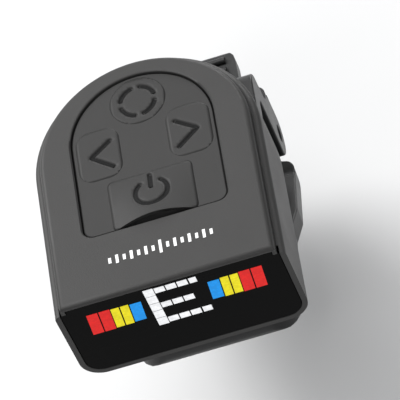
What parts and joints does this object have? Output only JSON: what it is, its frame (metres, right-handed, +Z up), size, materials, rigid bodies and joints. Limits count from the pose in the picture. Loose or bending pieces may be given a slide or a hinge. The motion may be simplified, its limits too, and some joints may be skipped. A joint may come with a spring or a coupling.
{
  "type": "clip on tuner",
  "caption": "Clip-on instrument tuner: a rounded pod with a display in its front face and keys on top, swivelling on a sprung clip with rubber pads.",
  "frame": {"origin": "where the pod's swivel axis meets the contact face of the upper rubber pad", "axes": "+Z up along the swivel axis, -Y the way the display faces, +X to the right of someone reading the display"},
  "size_m": [0.0254, 0.0487, 0.0379],
  "materials": {
    "housing": "fine moulded texture, charcoal grey",
    "keypad": "fine moulded texture with dark engraved symbols",
    "window": "polished black acrylic",
    "display": "dark display panel with lit segments",
    "inner_plastic": "plain moulded",
    "flex_film": "amber film",
    "board": "solder mask",
    "plated_steel": "nickel plated",
    "black_steel": "black oxide",
    "spring_steel": "drawn wire",
    "chip": "moulded package",
    "ceramic": "small ceramic parts",
    "battery_foil": "laminated foil",
    "foam": "adhesive foam",
    "wire_insulation": "soft insulation",
    "sensor_brass": "brass disc with a ceramic face",
    "white_ink": "printed",
    "clip_plastic": "black moulded nylon",
    "pad_rubber": "soft black rubber"
  },
  "bodies": {
    "clip": {"upper_arm": "clip_plastic", "upper_pad": "pad_rubber", "hinge_pin": "plated_steel", "torsion_spring": "spring_steel", "friction_washer": "pad_rubber", "wave_washer": "spring_steel", "retaining_washer": "plated_steel", "swivel_screw": "black_steel"},
    "lower_jaw": {"lower_arm": "clip_plastic", "lower_pad": "pad_rubber"},
    "pod": {"top_cover": "housing", "bottom_cover": "housing", "display_window": "window", "display_panel": "display", "display_holder": "inner_plastic", "display_ribbon": "flex_film", "keypad_mat": "keypad", "circuit_board": "board", "tact_switches": "plated_steel", "processor_chip": "chip", "board_parts": "ceramic", "usb_socket": "plated_steel", "battery": "battery_foil", "battery_pad": "foam", "battery_leads": "wire_insulation", "vibration_sensor": "sensor_brass", "sensor_leads": "wire_insulation", "housing_screws": "black_steel", "printed_scale": "white_ink"},
    "power_button": {"power_key": "keypad"},
    "left_button": {"left_key": "keypad"},
    "right_button": {"right_key": "keypad"},
    "mode_button": {"mode_key": "keypad"}
  },
  "joints": [
    {"name": "jaw_hinge", "type": "hinge", "parent": "clip", "child": "lower_jaw", "pos_m": [0, 0.0205, -0.008], "axis": [1, 0, 0], "range_deg": [0, 44], "stiffness_Nm_per_rad": 0.04, "springref_deg": -68.75, "deforming": ["torsion_spring"]},
    {"name": "pod_swivel", "type": "hinge", "parent": "clip", "child": "pod", "pos_m": [0, 0, 0], "axis": [0, 0, 1], "continuous": true},
    {"name": "power_press", "type": "slide", "parent": "pod", "child": "power_button", "axis": [0, 0, -1], "range_m": [0, 0.0003], "stiffness_N_per_m": 3000, "springref_m": -0.0001},
    {"name": "left_press", "type": "slide", "parent": "pod", "child": "left_button", "axis": [0, 0, -1], "range_m": [0, 0.0003], "stiffness_N_per_m": 3000, "springref_m": -0.0001},
    {"name": "right_press", "type": "slide", "parent": "pod", "child": "right_button", "axis": [0, 0, -1], "range_m": [0, 0.0003], "stiffness_N_per_m": 3000, "springref_m": -0.0001},
    {"name": "mode_press", "type": "slide", "parent": "pod", "child": "mode_button", "axis": [0, 0, -1], "range_m": [0, 0.0003], "stiffness_N_per_m": 3000, "springref_m": -0.0001}
  ]
}
